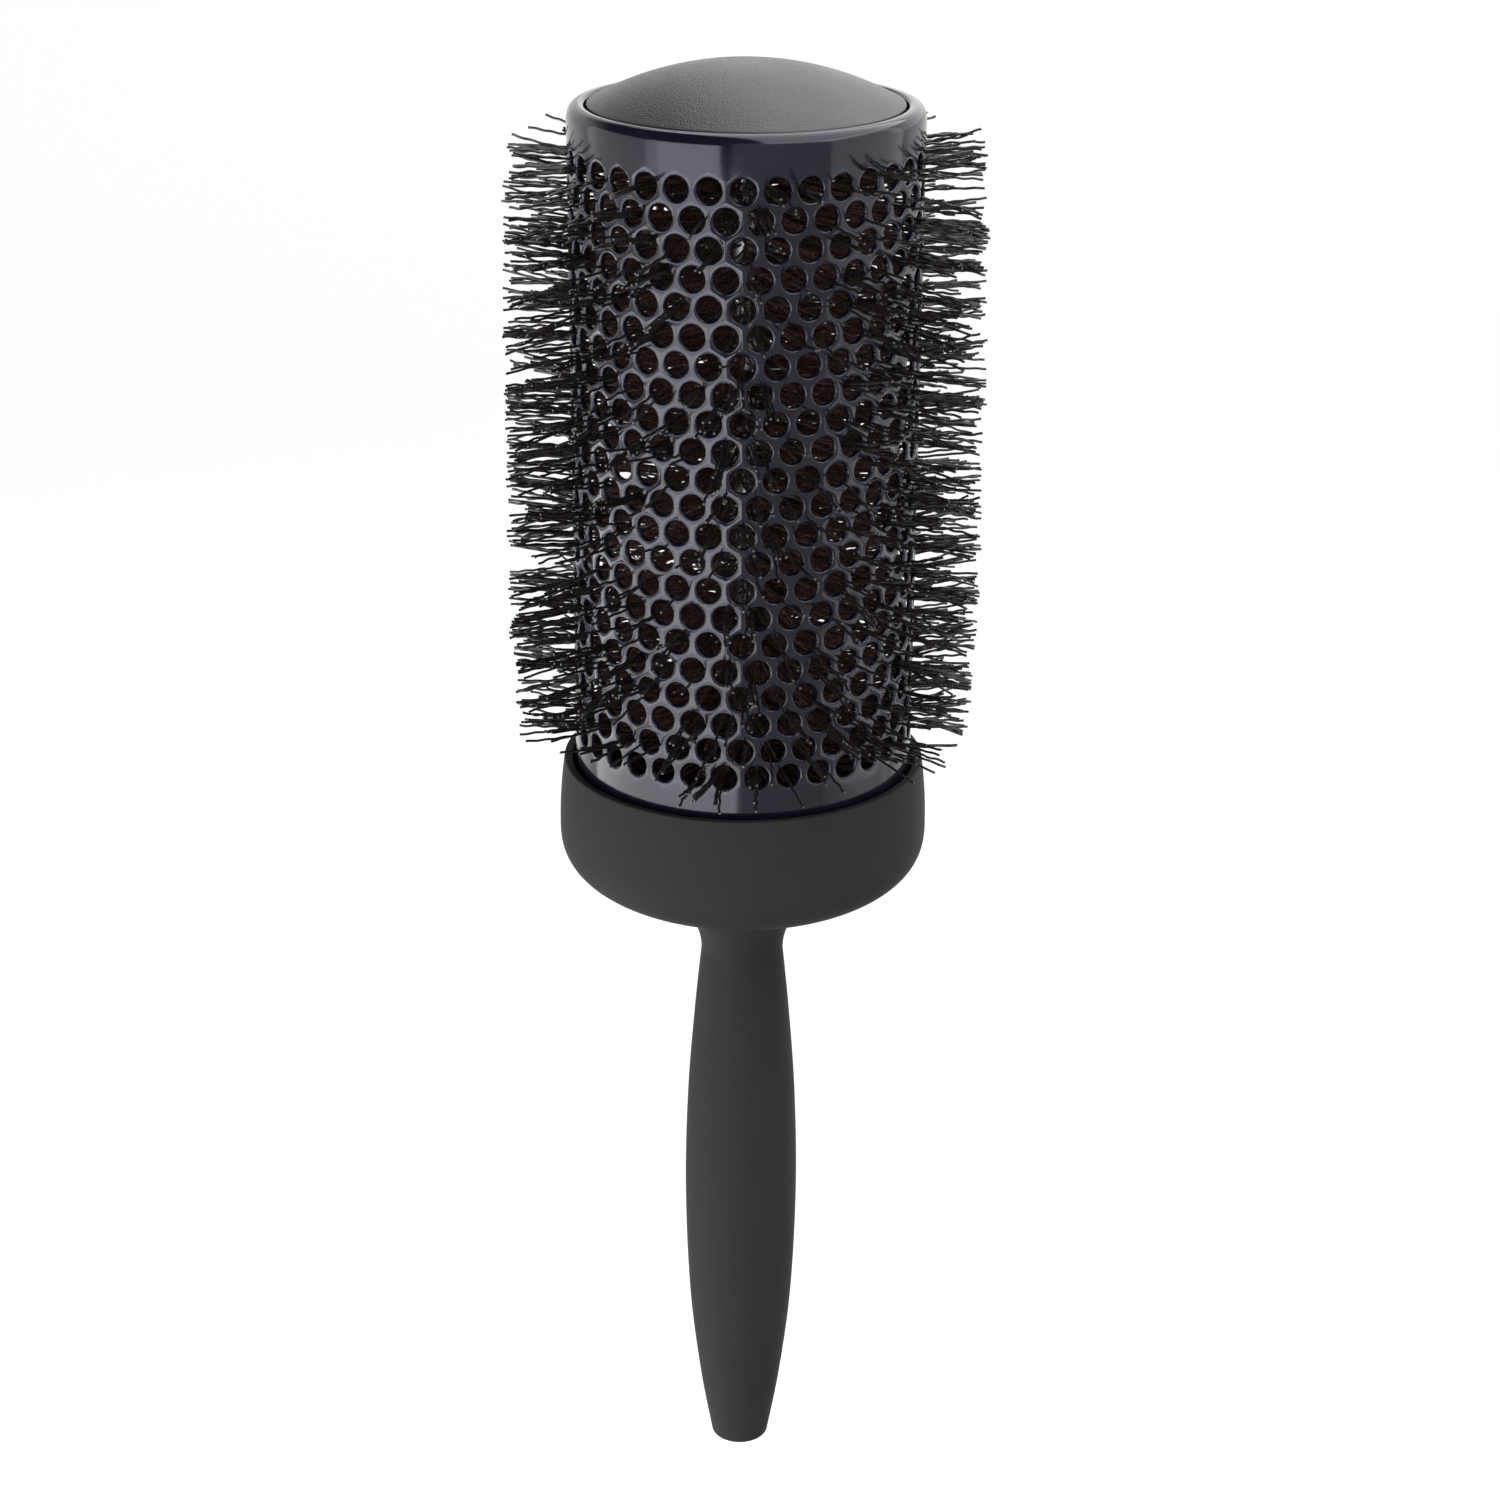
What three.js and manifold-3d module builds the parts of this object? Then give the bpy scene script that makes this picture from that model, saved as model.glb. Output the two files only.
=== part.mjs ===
// Round barrel brush for blow-drying: a perforated metal barrel on a soft-touch handle, with nylon
// bristles that are held in a twisted wire stem inside the barrel and stand out through its holes.
// Millimetres. Z is the axis of the brush; z = 0 is the flat end of the handle.
import * as THREE from "three";
import { mergeVertices } from "three/addons/utils/BufferGeometryUtils.js";
import Module from "manifold-3d";

const wasm = await Module();
wasm.setup();

// ---- driving dimensions ----
const GAP = 0.3; // clearance between neighbouring pieces

// barrel: a thin tube whose top edge is rolled inwards to a rounded lip
const BARREL_R = 26.5;
const BARREL_WALL = 0.8;
const BARREL_FOOT_Z = 112.6;
const LIP_START_Z = 227.5;
const LIP_TOP_Z = 230.1;
const LIP_TOP_R = 24.5;
const LIP_MOUTH_R = 23.8;
const LIP_DEPTH = 1.3; // how far the rolled edge reaches down inside the mouth

// hole pattern: staggered rows; each row is turned by half a pitch from the next
const HOLE_R = 1.865;
const HOLES_PER_ROW = 34;
const ROW_PITCH = 4.219;
const TOP_ROW_Z = 222.3;
const EVEN_ROW_ANGLE = THREE.MathUtils.degToRad(4.53);

// full bristle tufts: in every second row, through every second hole of the row
const TUFT_ROWS = 11;
const TUFTS_PER_ROW = HOLES_PER_ROW / 2;
const TUFT_TIP_R = 36.2;
const TUFT_WIDTH = 1.6;
const TUFT_HEIGHT = 1.8;
const TUFT_ROOT_R = 8;
const TUFT_BORE_R = 2.5;
const TUFT_BORE_SIDES = 12;

// twisted wire stem
const WIRE_R = 1.0;
const WIRE_SIDES = 6;
const WIRE_HELIX_R = 1.15;
const WIRE_PITCH = 20;
const STEM_BOTTOM_Z = 105.3;
const STEM_TOP_Z = 224.2;
const FERRULE_BORE_R = 2.5;
const FERRULE_R = 3.6;
const LOWER_FERRULE_Z = [104.7, 117.2];
const UPPER_FERRULE_Z = [220.5, 224.7];

// end cap: a shallow dome
const DOME_R = 23.5;
const DOME_RIM_Z = 230.15;
const DOME_TOP_Z = 236;
const DOME_WALL = 1.8;
const DOME_RIM_EDGE = 0.3; // small bevel round the rim
const SKIRT_BOTTOM_Z = 227.3;

// end plug, which closes the barrel's mouth and carries the cap
const PLUG_R = BARREL_R - BARREL_WALL - GAP;
const END_PLUG_Z = [225.1, 226.9];
const END_PLUG_HUB_R = 5.4;
const SPIGOT_HEIGHT = 1.8;
const SPIGOT_WALL = 1.8;

// collar: a cup with a rounded floor, flaring out of the neck of the handle
const COLLAR_R = 29.15;
const COLLAR_LIP_Z = 127.3;
const COLLAR_WIDEST_Z = 115.9;
const COLLAR_FLOOR_DEPTH = 12.26;
const COLLAR_ROUNDNESS = 2.61;
const COLLAR_BULGE = 0.0065; // how fast the side draws in above its widest line, per mm
const COLLAR_FLARE_R = 19; // radius at which the rounded floor takes over from the neck's flare
const COLLAR_LIP_EDGE = 0.25; // bevel of the lip's edges
const COLLAR_LIP_DIP = 0.1; // how far the lip slopes inwards
const COLLAR_BORE_R = 27;
const COLLAR_BORE_END_Z = 112; // the bore is straight down to here, then curves in to the floor
const COLLAR_FLOOR_R = 14;
const COLLAR_FLOOR_Z = 106.7;
const COLLAR_JOINT_Z = 101.5;

// handle
const NECK_R = 6.62;
const NECK_Z = 93.1;
const FLARE_WIDTH = 12;
const FLARE_HEIGHT = 11.4;
const GRIP_END_R = 3.7;
const GRIP_TOP_Z = COLLAR_JOINT_Z - GAP;
const CORE_NECK_R = 5;
const CORE_FLANGE_R = 12.5;
const CORE_FLANGE_Z = [107, 111];
const CORE_BOTTOM_Z = 6;
const CORE_SWELL_Z = [9, 78]; // stretch over which the core swells with the grip
const CORE_NECK_Z = 86;
const SOFT_SKIN = 2.2; // thickness of the grip around the core

// stations [height, radius] of the grip's outer side, joined by a smooth curve: from above the
// rounded edge of its flat end, past the widest part of the palm swell, to the neck
const GRIP_STATIONS = [
  [0.7, 4.8],
  [12.7, 6.8],
  [28.7, 8.55],
  [48.7, 9.28],
  [66.7, 8.85],
  [81.7, 7.75],
  [NECK_Z, NECK_R],
];

// base plug, which holds the foot of the barrel
const BASE_PLUG_Z = [111.3, 113.8];
const BASE_RIM_TOP_Z = 123.7;
const BASE_RIM_WALL = 2;
const BASE_HUB_R = 6.4;
const BASE_HUB_TOP_Z = 118.2;

// three screws that fasten the base plug to the flange of the handle core
const SCREW_COUNT = 3;
const SCREW_CIRCLE_R = 9.4;
const SCREW_SHANK_R = 1.1;
const SCREW_HEAD_R = 2.2;
const SCREW_HEAD_HEIGHT = 1.5;
const SCREW_TIP_Z = 108.1;

const ROUND = 24; // facets round a turned piece, where the hole pattern doesn't set them
const SEALED_BORE_R = FERRULE_R + GAP; // bores that take a ferrule

// ---- shape helpers ----
const at = (r, z) => new THREE.Vector2(r, z);

// A solid of revolution about Z from a profile of [radius, height] points.
function turned(points, segments, turn = 0) {
  return new THREE.LatheGeometry(points, segments).rotateX(Math.PI / 2).rotateZ(turn);
}

// Points of an elliptical arc from angle a to angle b, in radians, ends included.
function arc(centreR, centreZ, radiusR, radiusZ, a, b, steps) {
  return Array.from({ length: steps + 1 }, (_, i) => {
    const t = a + ((b - a) * i) / steps;
    return at(centreR + radiusR * Math.cos(t), centreZ + radiusZ * Math.sin(t));
  });
}

// Numbers from a to b, ends included, in a number of steps; bias under 1 crowds them towards b.
function spread(a, b, steps, bias = 1) {
  return Array.from({ length: steps + 1 }, (_, i) => a + (b - a) * (i / steps) ** bias);
}

function circlePoints(radius, count) {
  return Array.from({ length: count }, (_, i) => {
    const t = (2 * Math.PI * i) / count;
    return at(radius * Math.cos(t), radius * Math.sin(t));
  });
}

function ring(innerR, outerR, lowZ, highZ, segments) {
  const corners = [at(innerR, lowZ), at(outerR, lowZ), at(outerR, highZ), at(innerR, highZ)];
  return turned([...corners, corners[0]], segments);
}

function rod(radius, lowZ, highZ, segments) {
  return turned([at(0, lowZ), at(radius, lowZ), at(radius, highZ), at(0, highZ)], segments);
}

function toSolid(geometry) {
  const bare = geometry.clone();
  bare.deleteAttribute("normal");
  bare.deleteAttribute("uv");
  const merged = mergeVertices(bare, 1e-3);
  const vertProperties = merged.attributes.position.array;
  const triVerts = new Uint32Array(merged.index.array);
  return new wasm.Manifold(new wasm.Mesh({ numProp: 3, vertProperties, triVerts }));
}

function toGeometry(solid) {
  const mesh = solid.getMesh();
  const geometry = new THREE.BufferGeometry();
  geometry.setAttribute("position", new THREE.BufferAttribute(mesh.vertProperties, 3));
  geometry.setIndex(new THREE.BufferAttribute(mesh.triVerts, 1));
  geometry.computeVertexNormals();
  return geometry;
}

// The body with every one of the tools cut out of it.
function cut(body, tools) {
  return toGeometry(tools.reduce((left, tool) => left.subtract(toSolid(tool)), toSolid(body)));
}

// ---- materials ----
function material(colour, roughness, metalness) {
  return new THREE.MeshStandardMaterial({ color: colour, roughness, metalness });
}
const enamel = () => material(0x2b2c38, 0.22, 0.6);
const softTouch = () => material(0x3a3a3b, 0.75, 0);
const mouldedPlastic = () => material(0x1b1b1d, 0.55, 0);
const steel = () => material(0x9a9a9a, 0.35, 1);
const nylon = () => material(0x0c0c0d, 0.4, 0);

// ---- barrel ----
const tuftAngle = (i) => EVEN_ROW_ANGLE + (i * 2 * Math.PI) / TUFTS_PER_ROW;
const tuftRowZ = (row) => TOP_ROW_Z - (2 * row + 1) * ROW_PITCH;

// A six-sided drill laid across the barrel wall, pointing out at an angle from -Y.
function holeDrill(angle, z) {
  const length = 6;
  const drill = new THREE.CylinderGeometry(HOLE_R, HOLE_R, length, 6);
  drill.translate(0, -(BARREL_R - BARREL_WALL / 2), 0);
  return drill.rotateZ(angle).translate(0, 0, z);
}

function barrelShape() {
  const inner = BARREL_R - BARREL_WALL;
  const quarter = Math.PI / 2;
  const shoulder = [LIP_TOP_R, LIP_START_Z, BARREL_R - LIP_TOP_R, LIP_TOP_Z - LIP_START_Z];
  const profile = [
    at(inner, BARREL_FOOT_Z),
    at(BARREL_R, BARREL_FOOT_Z),
    ...arc(...shoulder, 0, quarter, 4),
    at(LIP_MOUTH_R, LIP_TOP_Z - LIP_DEPTH / 3),
    at(LIP_MOUTH_R, LIP_TOP_Z - LIP_DEPTH),
    at(LIP_TOP_R, LIP_TOP_Z - LIP_DEPTH),
    at(inner, LIP_START_Z),
    at(inner, BARREL_FOOT_Z),
  ];
  // one flat facet under each hole of a row
  const facet = Math.PI / HOLES_PER_ROW;
  const tube = turned(profile, HOLES_PER_ROW, EVEN_ROW_ANGLE + facet - quarter);
  const drills = [];
  for (let row = 0; row < TUFT_ROWS; row++) {
    for (let i = 0; i < TUFTS_PER_ROW; i++) drills.push(holeDrill(tuftAngle(i), tuftRowZ(row)));
  }
  return cut(tube, drills);
}

// ---- bristles ----
// A point at a distance out along the direction of a tuft, and a distance across it.
function beside(angle, out, across) {
  return at(
    out * Math.sin(angle) + across * Math.cos(angle),
    across * Math.sin(angle) - out * Math.cos(angle),
  );
}

// One row of tufts: a thin collar of filaments round the stem, with a straight tuft for each hole.
function tuftRowShape() {
  const half = TUFT_WIDTH / 2;
  const outline = [];
  for (let i = 0; i < TUFTS_PER_ROW; i++) {
    const angle = tuftAngle(i);
    outline.push(
      beside(angle, TUFT_ROOT_R, -half),
      beside(angle, TUFT_TIP_R, -half),
      beside(angle, TUFT_TIP_R, half),
      beside(angle, TUFT_ROOT_R, half),
    );
  }
  const shape = new THREE.Shape(outline);
  shape.holes.push(new THREE.Path(circlePoints(TUFT_BORE_R, TUFT_BORE_SIDES)));
  const options = { depth: TUFT_HEIGHT, bevelEnabled: false };
  return new THREE.ExtrudeGeometry(shape, options).translate(0, 0, -TUFT_HEIGHT / 2);
}

// ---- stem ----
class Helix extends THREE.Curve {
  constructor(start) {
    super();
    this.start = start;
  }
  getPoint(t, target = new THREE.Vector3()) {
    const z = THREE.MathUtils.lerp(STEM_BOTTOM_Z, STEM_TOP_Z, t);
    const angle = this.start + (2 * Math.PI * (z - STEM_BOTTOM_Z)) / WIRE_PITCH;
    return target.set(WIRE_HELIX_R * Math.cos(angle), WIRE_HELIX_R * Math.sin(angle), z);
  }
}

function wireShape(start) {
  const section = new THREE.Shape(circlePoints(WIRE_R, WIRE_SIDES));
  const steps = Math.round((8 * (STEM_TOP_Z - STEM_BOTTOM_Z)) / WIRE_PITCH);
  return new THREE.ExtrudeGeometry(section, { steps, extrudePath: new Helix(start) });
}

// ---- cap and plugs ----
// Points of a dome's section, from the axis out to a rim radius.
function domeArc(sphereR, centreZ, rimR, steps) {
  return spread(0, rimR, steps).map((r) => at(r, centreZ + Math.sqrt(sphereR ** 2 - r ** 2)));
}

function endCapShape() {
  const rise = DOME_TOP_Z - DOME_RIM_Z;
  const rimR = DOME_R - DOME_RIM_EDGE;
  const sphereR = (rimR ** 2 + rise ** 2) / (2 * rise);
  const centreZ = DOME_TOP_Z - sphereR;
  const innerR = DOME_R - DOME_WALL;
  return turned(
    [
      ...domeArc(sphereR - DOME_WALL, centreZ, innerR, 3),
      at(innerR, SKIRT_BOTTOM_Z),
      at(DOME_R, SKIRT_BOTTOM_Z),
      at(DOME_R, DOME_RIM_Z - DOME_RIM_EDGE),
      ...domeArc(sphereR, centreZ, rimR, 6).reverse(),
    ],
    ROUND,
  );
}

function endPlugShape() {
  const [low, high] = END_PLUG_Z;
  const spigotR = DOME_R - DOME_WALL - GAP; // raised ring that the skirt of the cap grips
  const spigotTop = high + SPIGOT_HEIGHT;
  const hubBottom = UPPER_FERRULE_Z[0] - GAP;
  return turned(
    [
      at(0, low + GAP),
      at(SEALED_BORE_R, low + GAP),
      at(SEALED_BORE_R, hubBottom),
      at(END_PLUG_HUB_R, hubBottom),
      at(END_PLUG_HUB_R, low),
      at(PLUG_R, low),
      at(PLUG_R, high),
      at(spigotR, high),
      at(spigotR, spigotTop),
      at(spigotR - SPIGOT_WALL, spigotTop),
      at(spigotR - SPIGOT_WALL, high),
      at(0, high),
    ],
    ROUND,
  );
}

const screwAngle = (i) => (i * 2 * Math.PI) / SCREW_COUNT;

// Clearance holes on the screw circle between two heights.
function screwHoles(lowZ, highZ) {
  return Array.from({ length: SCREW_COUNT }, (_, i) =>
    rod(SCREW_SHANK_R + GAP, lowZ, highZ, 8).translate(SCREW_CIRCLE_R, 0, 0).rotateZ(screwAngle(i)),
  );
}

function basePlugShape() {
  const [low, high] = BASE_PLUG_Z;
  const footR = BARREL_R; // flange under the foot of the barrel
  const footTop = BARREL_FOOT_Z - GAP;
  const profile = [
    at(SEALED_BORE_R, low),
    at(footR, low),
    at(footR, footTop),
    at(PLUG_R, footTop),
    at(PLUG_R, BASE_RIM_TOP_Z),
    at(PLUG_R - BASE_RIM_WALL, BASE_RIM_TOP_Z),
    at(PLUG_R - BASE_RIM_WALL, high),
    at(BASE_HUB_R, high),
    at(BASE_HUB_R, BASE_HUB_TOP_Z),
    at(SEALED_BORE_R, BASE_HUB_TOP_Z),
    at(SEALED_BORE_R, low),
  ];
  return cut(turned(profile, ROUND), screwHoles(low - 1, high + 1));
}

// A pan-head screw with a slot, in its place under the head at the top face of the base plug.
function screwShape() {
  const seat = BASE_PLUG_Z[1] + GAP;
  const top = seat + SCREW_HEAD_HEIGHT;
  const body = turned(
    [
      at(0, SCREW_TIP_Z),
      at(SCREW_SHANK_R * 0.6, SCREW_TIP_Z),
      at(SCREW_SHANK_R, SCREW_TIP_Z + 0.8),
      at(SCREW_SHANK_R, seat),
      at(SCREW_HEAD_R, seat),
      at(SCREW_HEAD_R, top - 0.4),
      at(SCREW_HEAD_R - 0.4, top),
      at(0, top),
    ],
    12,
  );
  const slot = new THREE.BoxGeometry(2 * SCREW_HEAD_R + 1, 0.6, 1.2).translate(0, 0, top);
  return cut(body, [slot]);
}

// ---- collar and handle ----
// Points of the collar's outer underside, on a superellipse, from a radius out to the widest line.
function collarUnderside(fromR, steps) {
  const power = 2 / COLLAR_ROUNDNESS;
  const start = Math.acos((fromR / COLLAR_R) ** (1 / power));
  return spread(start, 0, steps).map((t) =>
    at(COLLAR_R * Math.cos(t) ** power, COLLAR_WIDEST_Z - COLLAR_FLOOR_DEPTH * Math.sin(t) ** power),
  );
}

// Radius of the collar's slightly barrelled side at a height.
function collarSideR(z) {
  return COLLAR_R - COLLAR_BULGE * (z - COLLAR_WIDEST_Z) ** 2;
}

// Radius of the trumpet flare between the neck and the collar's underside.
function flareR(z) {
  const rise = (z - NECK_Z) / FLARE_HEIGHT;
  return NECK_R + FLARE_WIDTH * (1 - Math.sqrt(1 - rise * rise));
}

function collarShape() {
  const flareTopZ = NECK_Z + 0.97 * FLARE_HEIGHT;
  const flare = spread(COLLAR_JOINT_Z, flareTopZ, 4, 0.6).map((z) => at(flareR(z), z));
  const boreR = CORE_NECK_R + GAP;
  const curveR = COLLAR_BORE_R - COLLAR_FLOOR_R;
  const curveZ = COLLAR_BORE_END_Z - COLLAR_FLOOR_Z;
  return turned(
    [
      at(boreR, COLLAR_JOINT_Z),
      ...flare,
      ...collarUnderside(COLLAR_FLARE_R, 8),
      ...spread(COLLAR_WIDEST_Z + 5, COLLAR_LIP_Z - COLLAR_LIP_EDGE, 1).map((z) => at(collarSideR(z), z)),
      at(collarSideR(COLLAR_LIP_Z) - COLLAR_LIP_EDGE, COLLAR_LIP_Z),
      at(COLLAR_BORE_R + COLLAR_LIP_EDGE, COLLAR_LIP_Z - COLLAR_LIP_DIP),
      at(COLLAR_BORE_R, COLLAR_LIP_Z - COLLAR_LIP_DIP - COLLAR_LIP_EDGE),
      ...arc(COLLAR_FLOOR_R, COLLAR_BORE_END_Z, curveR, curveZ, 0, -Math.PI / 2, 8),
      at(boreR, COLLAR_FLOOR_Z),
      at(boreR, COLLAR_JOINT_Z),
    ],
    ROUND,
  );
}

// Outer side of the grip, from above its rounded end to the neck.
function gripProfile(steps) {
  const curve = new THREE.SplineCurve(GRIP_STATIONS.map(([z, r]) => at(r, z)));
  return curve.getPoints(steps);
}

function gripShape() {
  const boreR = CORE_NECK_R + GAP;
  const inside = coreProfile().map((p) => at(p.x + GAP, p.y));
  return turned(
    [
      at(0, 0),
      at(GRIP_END_R, 0),
      at(GRIP_END_R + 0.75, 0.2),
      ...gripProfile(10),
      at(flareR(GRIP_TOP_Z), GRIP_TOP_Z),
      at(boreR, GRIP_TOP_Z),
      ...inside.reverse(),
      at(inside.at(-1).x, CORE_BOTTOM_Z - GAP),
      at(0, CORE_BOTTOM_Z - GAP),
    ],
    ROUND,
  );
}

// Side of the handle core, a skin's thickness inside the grip, from its lower end to the neck.
function coreProfile() {
  const [low, high] = CORE_SWELL_Z;
  const swell = gripProfile(10).filter((p) => p.y > low && p.y < high);
  const side = swell.map((p) => at(p.x - SOFT_SKIN, p.y));
  return [at(side[0].x - 1, CORE_BOTTOM_Z), ...side, at(CORE_NECK_R, CORE_NECK_Z)];
}

function coreShape() {
  const [flangeLow, flangeHigh] = CORE_FLANGE_Z;
  const boreFloor = LOWER_FERRULE_Z[0] - GAP;
  const body = turned(
    [
      at(0, CORE_BOTTOM_Z),
      ...coreProfile(),
      at(CORE_NECK_R, flangeLow),
      at(CORE_FLANGE_R, flangeLow),
      at(CORE_FLANGE_R, flangeHigh),
      at(SEALED_BORE_R, flangeHigh),
      at(SEALED_BORE_R, boreFloor),
      at(0, boreFloor),
    ],
    ROUND,
  );
  return cut(body, screwHoles(SCREW_TIP_Z - GAP, flangeHigh + 1));
}

// ---- assembly ----
const brush = new THREE.Group();

function place(group, name, geometry, look, position = [0, 0, 0], turn = 0) {
  const mesh = new THREE.Mesh(geometry, look);
  mesh.name = name;
  mesh.position.set(...position);
  mesh.rotation.z = turn;
  group.add(mesh);
}

const handle = new THREE.Group();
place(handle, "handle_grip", gripShape(), softTouch());
place(handle, "handle_core", coreShape(), mouldedPlastic());
place(handle, "collar_cup", collarShape(), softTouch());

const head = new THREE.Group();
place(head, "barrel", barrelShape(), enamel());
place(head, "base_plug", basePlugShape(), mouldedPlastic());
place(head, "end_plug", endPlugShape(), mouldedPlastic());
place(head, "end_cap", endCapShape(), softTouch());
for (let i = 0; i < SCREW_COUNT; i++) {
  const angle = screwAngle(i);
  const spot = [SCREW_CIRCLE_R * Math.cos(angle), SCREW_CIRCLE_R * Math.sin(angle), 0];
  place(head, `base_screw_${i + 1}`, screwShape(), steel(), spot, angle);
}

const bristleUnit = new THREE.Group();
place(bristleUnit, "stem_wire_a", wireShape(0), steel());
place(bristleUnit, "stem_wire_b", wireShape(Math.PI), steel());
const ferrule = ([low, high]) => ring(FERRULE_BORE_R, FERRULE_R, low, high, 16);
place(bristleUnit, "lower_stem_ferrule", ferrule(LOWER_FERRULE_Z), steel());
place(bristleUnit, "upper_stem_ferrule", ferrule(UPPER_FERRULE_Z), steel());
for (let row = 0; row < TUFT_ROWS; row++) {
  const name = `bristle_row_${String(row + 1).padStart(2, "0")}`;
  place(bristleUnit, name, tuftRowShape(), nylon(), [0, 0, tuftRowZ(row)]);
}

brush.add(handle, head, bristleUnit);

export default brush;
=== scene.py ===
import math

import bmesh
import bpy
import numpy as np
from mathutils import Matrix, Vector


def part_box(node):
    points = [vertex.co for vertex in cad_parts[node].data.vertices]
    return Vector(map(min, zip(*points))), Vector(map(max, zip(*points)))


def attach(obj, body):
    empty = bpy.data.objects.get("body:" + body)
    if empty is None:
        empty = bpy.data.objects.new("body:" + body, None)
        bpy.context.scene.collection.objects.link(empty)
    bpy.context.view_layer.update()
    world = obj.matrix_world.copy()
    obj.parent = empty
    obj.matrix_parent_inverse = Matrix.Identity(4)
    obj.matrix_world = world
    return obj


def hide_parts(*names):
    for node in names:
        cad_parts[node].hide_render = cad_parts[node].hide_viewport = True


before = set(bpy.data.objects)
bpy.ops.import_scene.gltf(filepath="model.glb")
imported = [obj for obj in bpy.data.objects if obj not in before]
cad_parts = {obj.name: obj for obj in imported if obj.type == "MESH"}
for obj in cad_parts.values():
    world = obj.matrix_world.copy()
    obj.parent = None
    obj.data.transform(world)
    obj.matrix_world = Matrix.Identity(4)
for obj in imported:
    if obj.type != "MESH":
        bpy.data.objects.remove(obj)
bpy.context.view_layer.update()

MM = 0.001
TURN = 2 * math.pi

# ---- heights from the frame ----
BARREL_FOOT_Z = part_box("barrel")[0].z
BARREL_TOP_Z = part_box("barrel")[1].z
DOME_TOP_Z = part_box("end_cap")[1].z
SKIRT_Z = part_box("end_cap")[0].z
COLLAR_JOINT_Z, COLLAR_LIP_Z = (corner.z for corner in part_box("collar_cup"))
GRIP_TOP_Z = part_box("handle_grip")[1].z
STEM_BOTTOM_Z, STEM_TOP_Z = (corner.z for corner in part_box("stem_wire_a"))

TUFT_ROWS = sorted(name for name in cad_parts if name.startswith("bristle_row_"))


def row_height(node):
    low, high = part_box(node)
    return (low.z + high.z) / 2


# Each bristle node stands for two rows of holes: the row at its own height and the one above it.
ROW_PITCH = (row_height(TUFT_ROWS[0]) - row_height(TUFT_ROWS[-1])) / (2 * len(TUFT_ROWS) - 2)
TOP_ROW_Z = row_height(TUFT_ROWS[0]) + ROW_PITCH
HOLE_ROWS = 2 * len(TUFT_ROWS)
LAST_ROW_Z = TOP_ROW_Z - (HOLE_ROWS - 1) * ROW_PITCH

# ---- barrel ----
BARREL_R = 26.5 * MM
WALL = 0.8 * MM
HOLES_PER_ROW = 34
HOLE_R = 1.865 * MM
HOLE_EDGE = 0.34 * MM  # radius of the rounded, enamelled edge of a hole
WEB_DIP = 0.014 * MM  # how far the wall sinks towards a hole before its edge
EVEN_ROW_ANGLE = math.radians(4.53)  # of a hole in the second, fourth and later even rows
SHOULDER_Z = BARREL_TOP_Z - 2.6 * MM
SHOULDER_ROUNDNESS = 2.5
LIP_R = 24.5 * MM  # where the rolled lip is highest
LIP_ROLL = 0.55 * MM  # height of the lip's curve into the mouth
MOUTH_R = 23.8 * MM
LIP_DEPTH = 1.3 * MM
FOOT_BAND_Z = 125 * MM  # a ring that divides the plain band under the holes
FOOT_EDGE = 0.15 * MM
CELL_STEPS = 3  # divisions of each side of the six-sided cell round a hole

# ---- cap ----
DOME_R = 23.5 * MM
DOME_RIM_Z = BARREL_TOP_Z + 0.05 * MM
DOME_RIM_EDGE = 0.35 * MM
DOME_WALL = 1.8 * MM
SKIRT_MEETS_DOME = 0.5 * MM  # the step between the inside of the skirt and that of the dome

# ---- collar and handle ----
COLLAR_R = 29.15 * MM
COLLAR_WIDEST_Z = COLLAR_LIP_Z - 11.4 * MM
COLLAR_FLOOR_DEPTH = 12.26 * MM
COLLAR_ROUNDNESS = 2.61
COLLAR_BULGE = 6.5  # how fast the side draws in above its widest line, per metre
COLLAR_FLARE_R = 19 * MM  # where the rounded floor takes over from the neck's flare
COLLAR_LIP_EDGE = 0.25 * MM  # radius of the rounded edges of its lip
COLLAR_LIP_DIP = 0.1 * MM  # how far the lip slopes inwards
COLLAR_BORE_R = 27 * MM
COLLAR_BORE_END_Z = 112 * MM  # the bore is straight down to here, then curves in to the floor
COLLAR_INNER_FLOOR_R = 14 * MM
COLLAR_INNER_FLOOR_Z = 106.7 * MM
NECK_R = 6.62 * MM
NECK_Z = 93.1 * MM
FLARE_WIDTH = 12 * MM  # the neck's flare is a quarter of an ellipse this wide and this high
FLARE_HEIGHT = 11.4 * MM
CORE_BORE_R = 5.3 * MM  # the bore of grip and collar round the core
CORE_BORE_RING_Z = 86 * MM  # a ring that divides the bore under the flare
CORE_BORE_TAPER_Z = 12 * MM  # from here down it narrows to its end
CORE_BORE_END_R = 4.2 * MM
CORE_BORE_END_Z = 5.7 * MM
# height and radius of the grip, in mm
GRIP_STATIONS = ((0.7, 4.8), (12.7, 6.8), (28.7, 8.55), (48.7, 9.28), (66.7, 8.85), (81.7, 7.75))
GRIP_END_R = 3.7 * MM  # its flat end
JOINT_EDGE = 0.1 * MM  # the chamfers where grip and collar meet

# ---- bristles ----
TIP_R = 36.6 * MM
FILAMENT_R = 0.20 * MM
CRIMP_LENGTH = 2.8 * MM
CRIMP_HEIGHT = 0.085 * MM
TRIM = 1.1 * MM  # how much shorter the first and last rows are trimmed
TRIM_HEIGHT = 15 * MM  # over which the trim fades out
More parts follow.
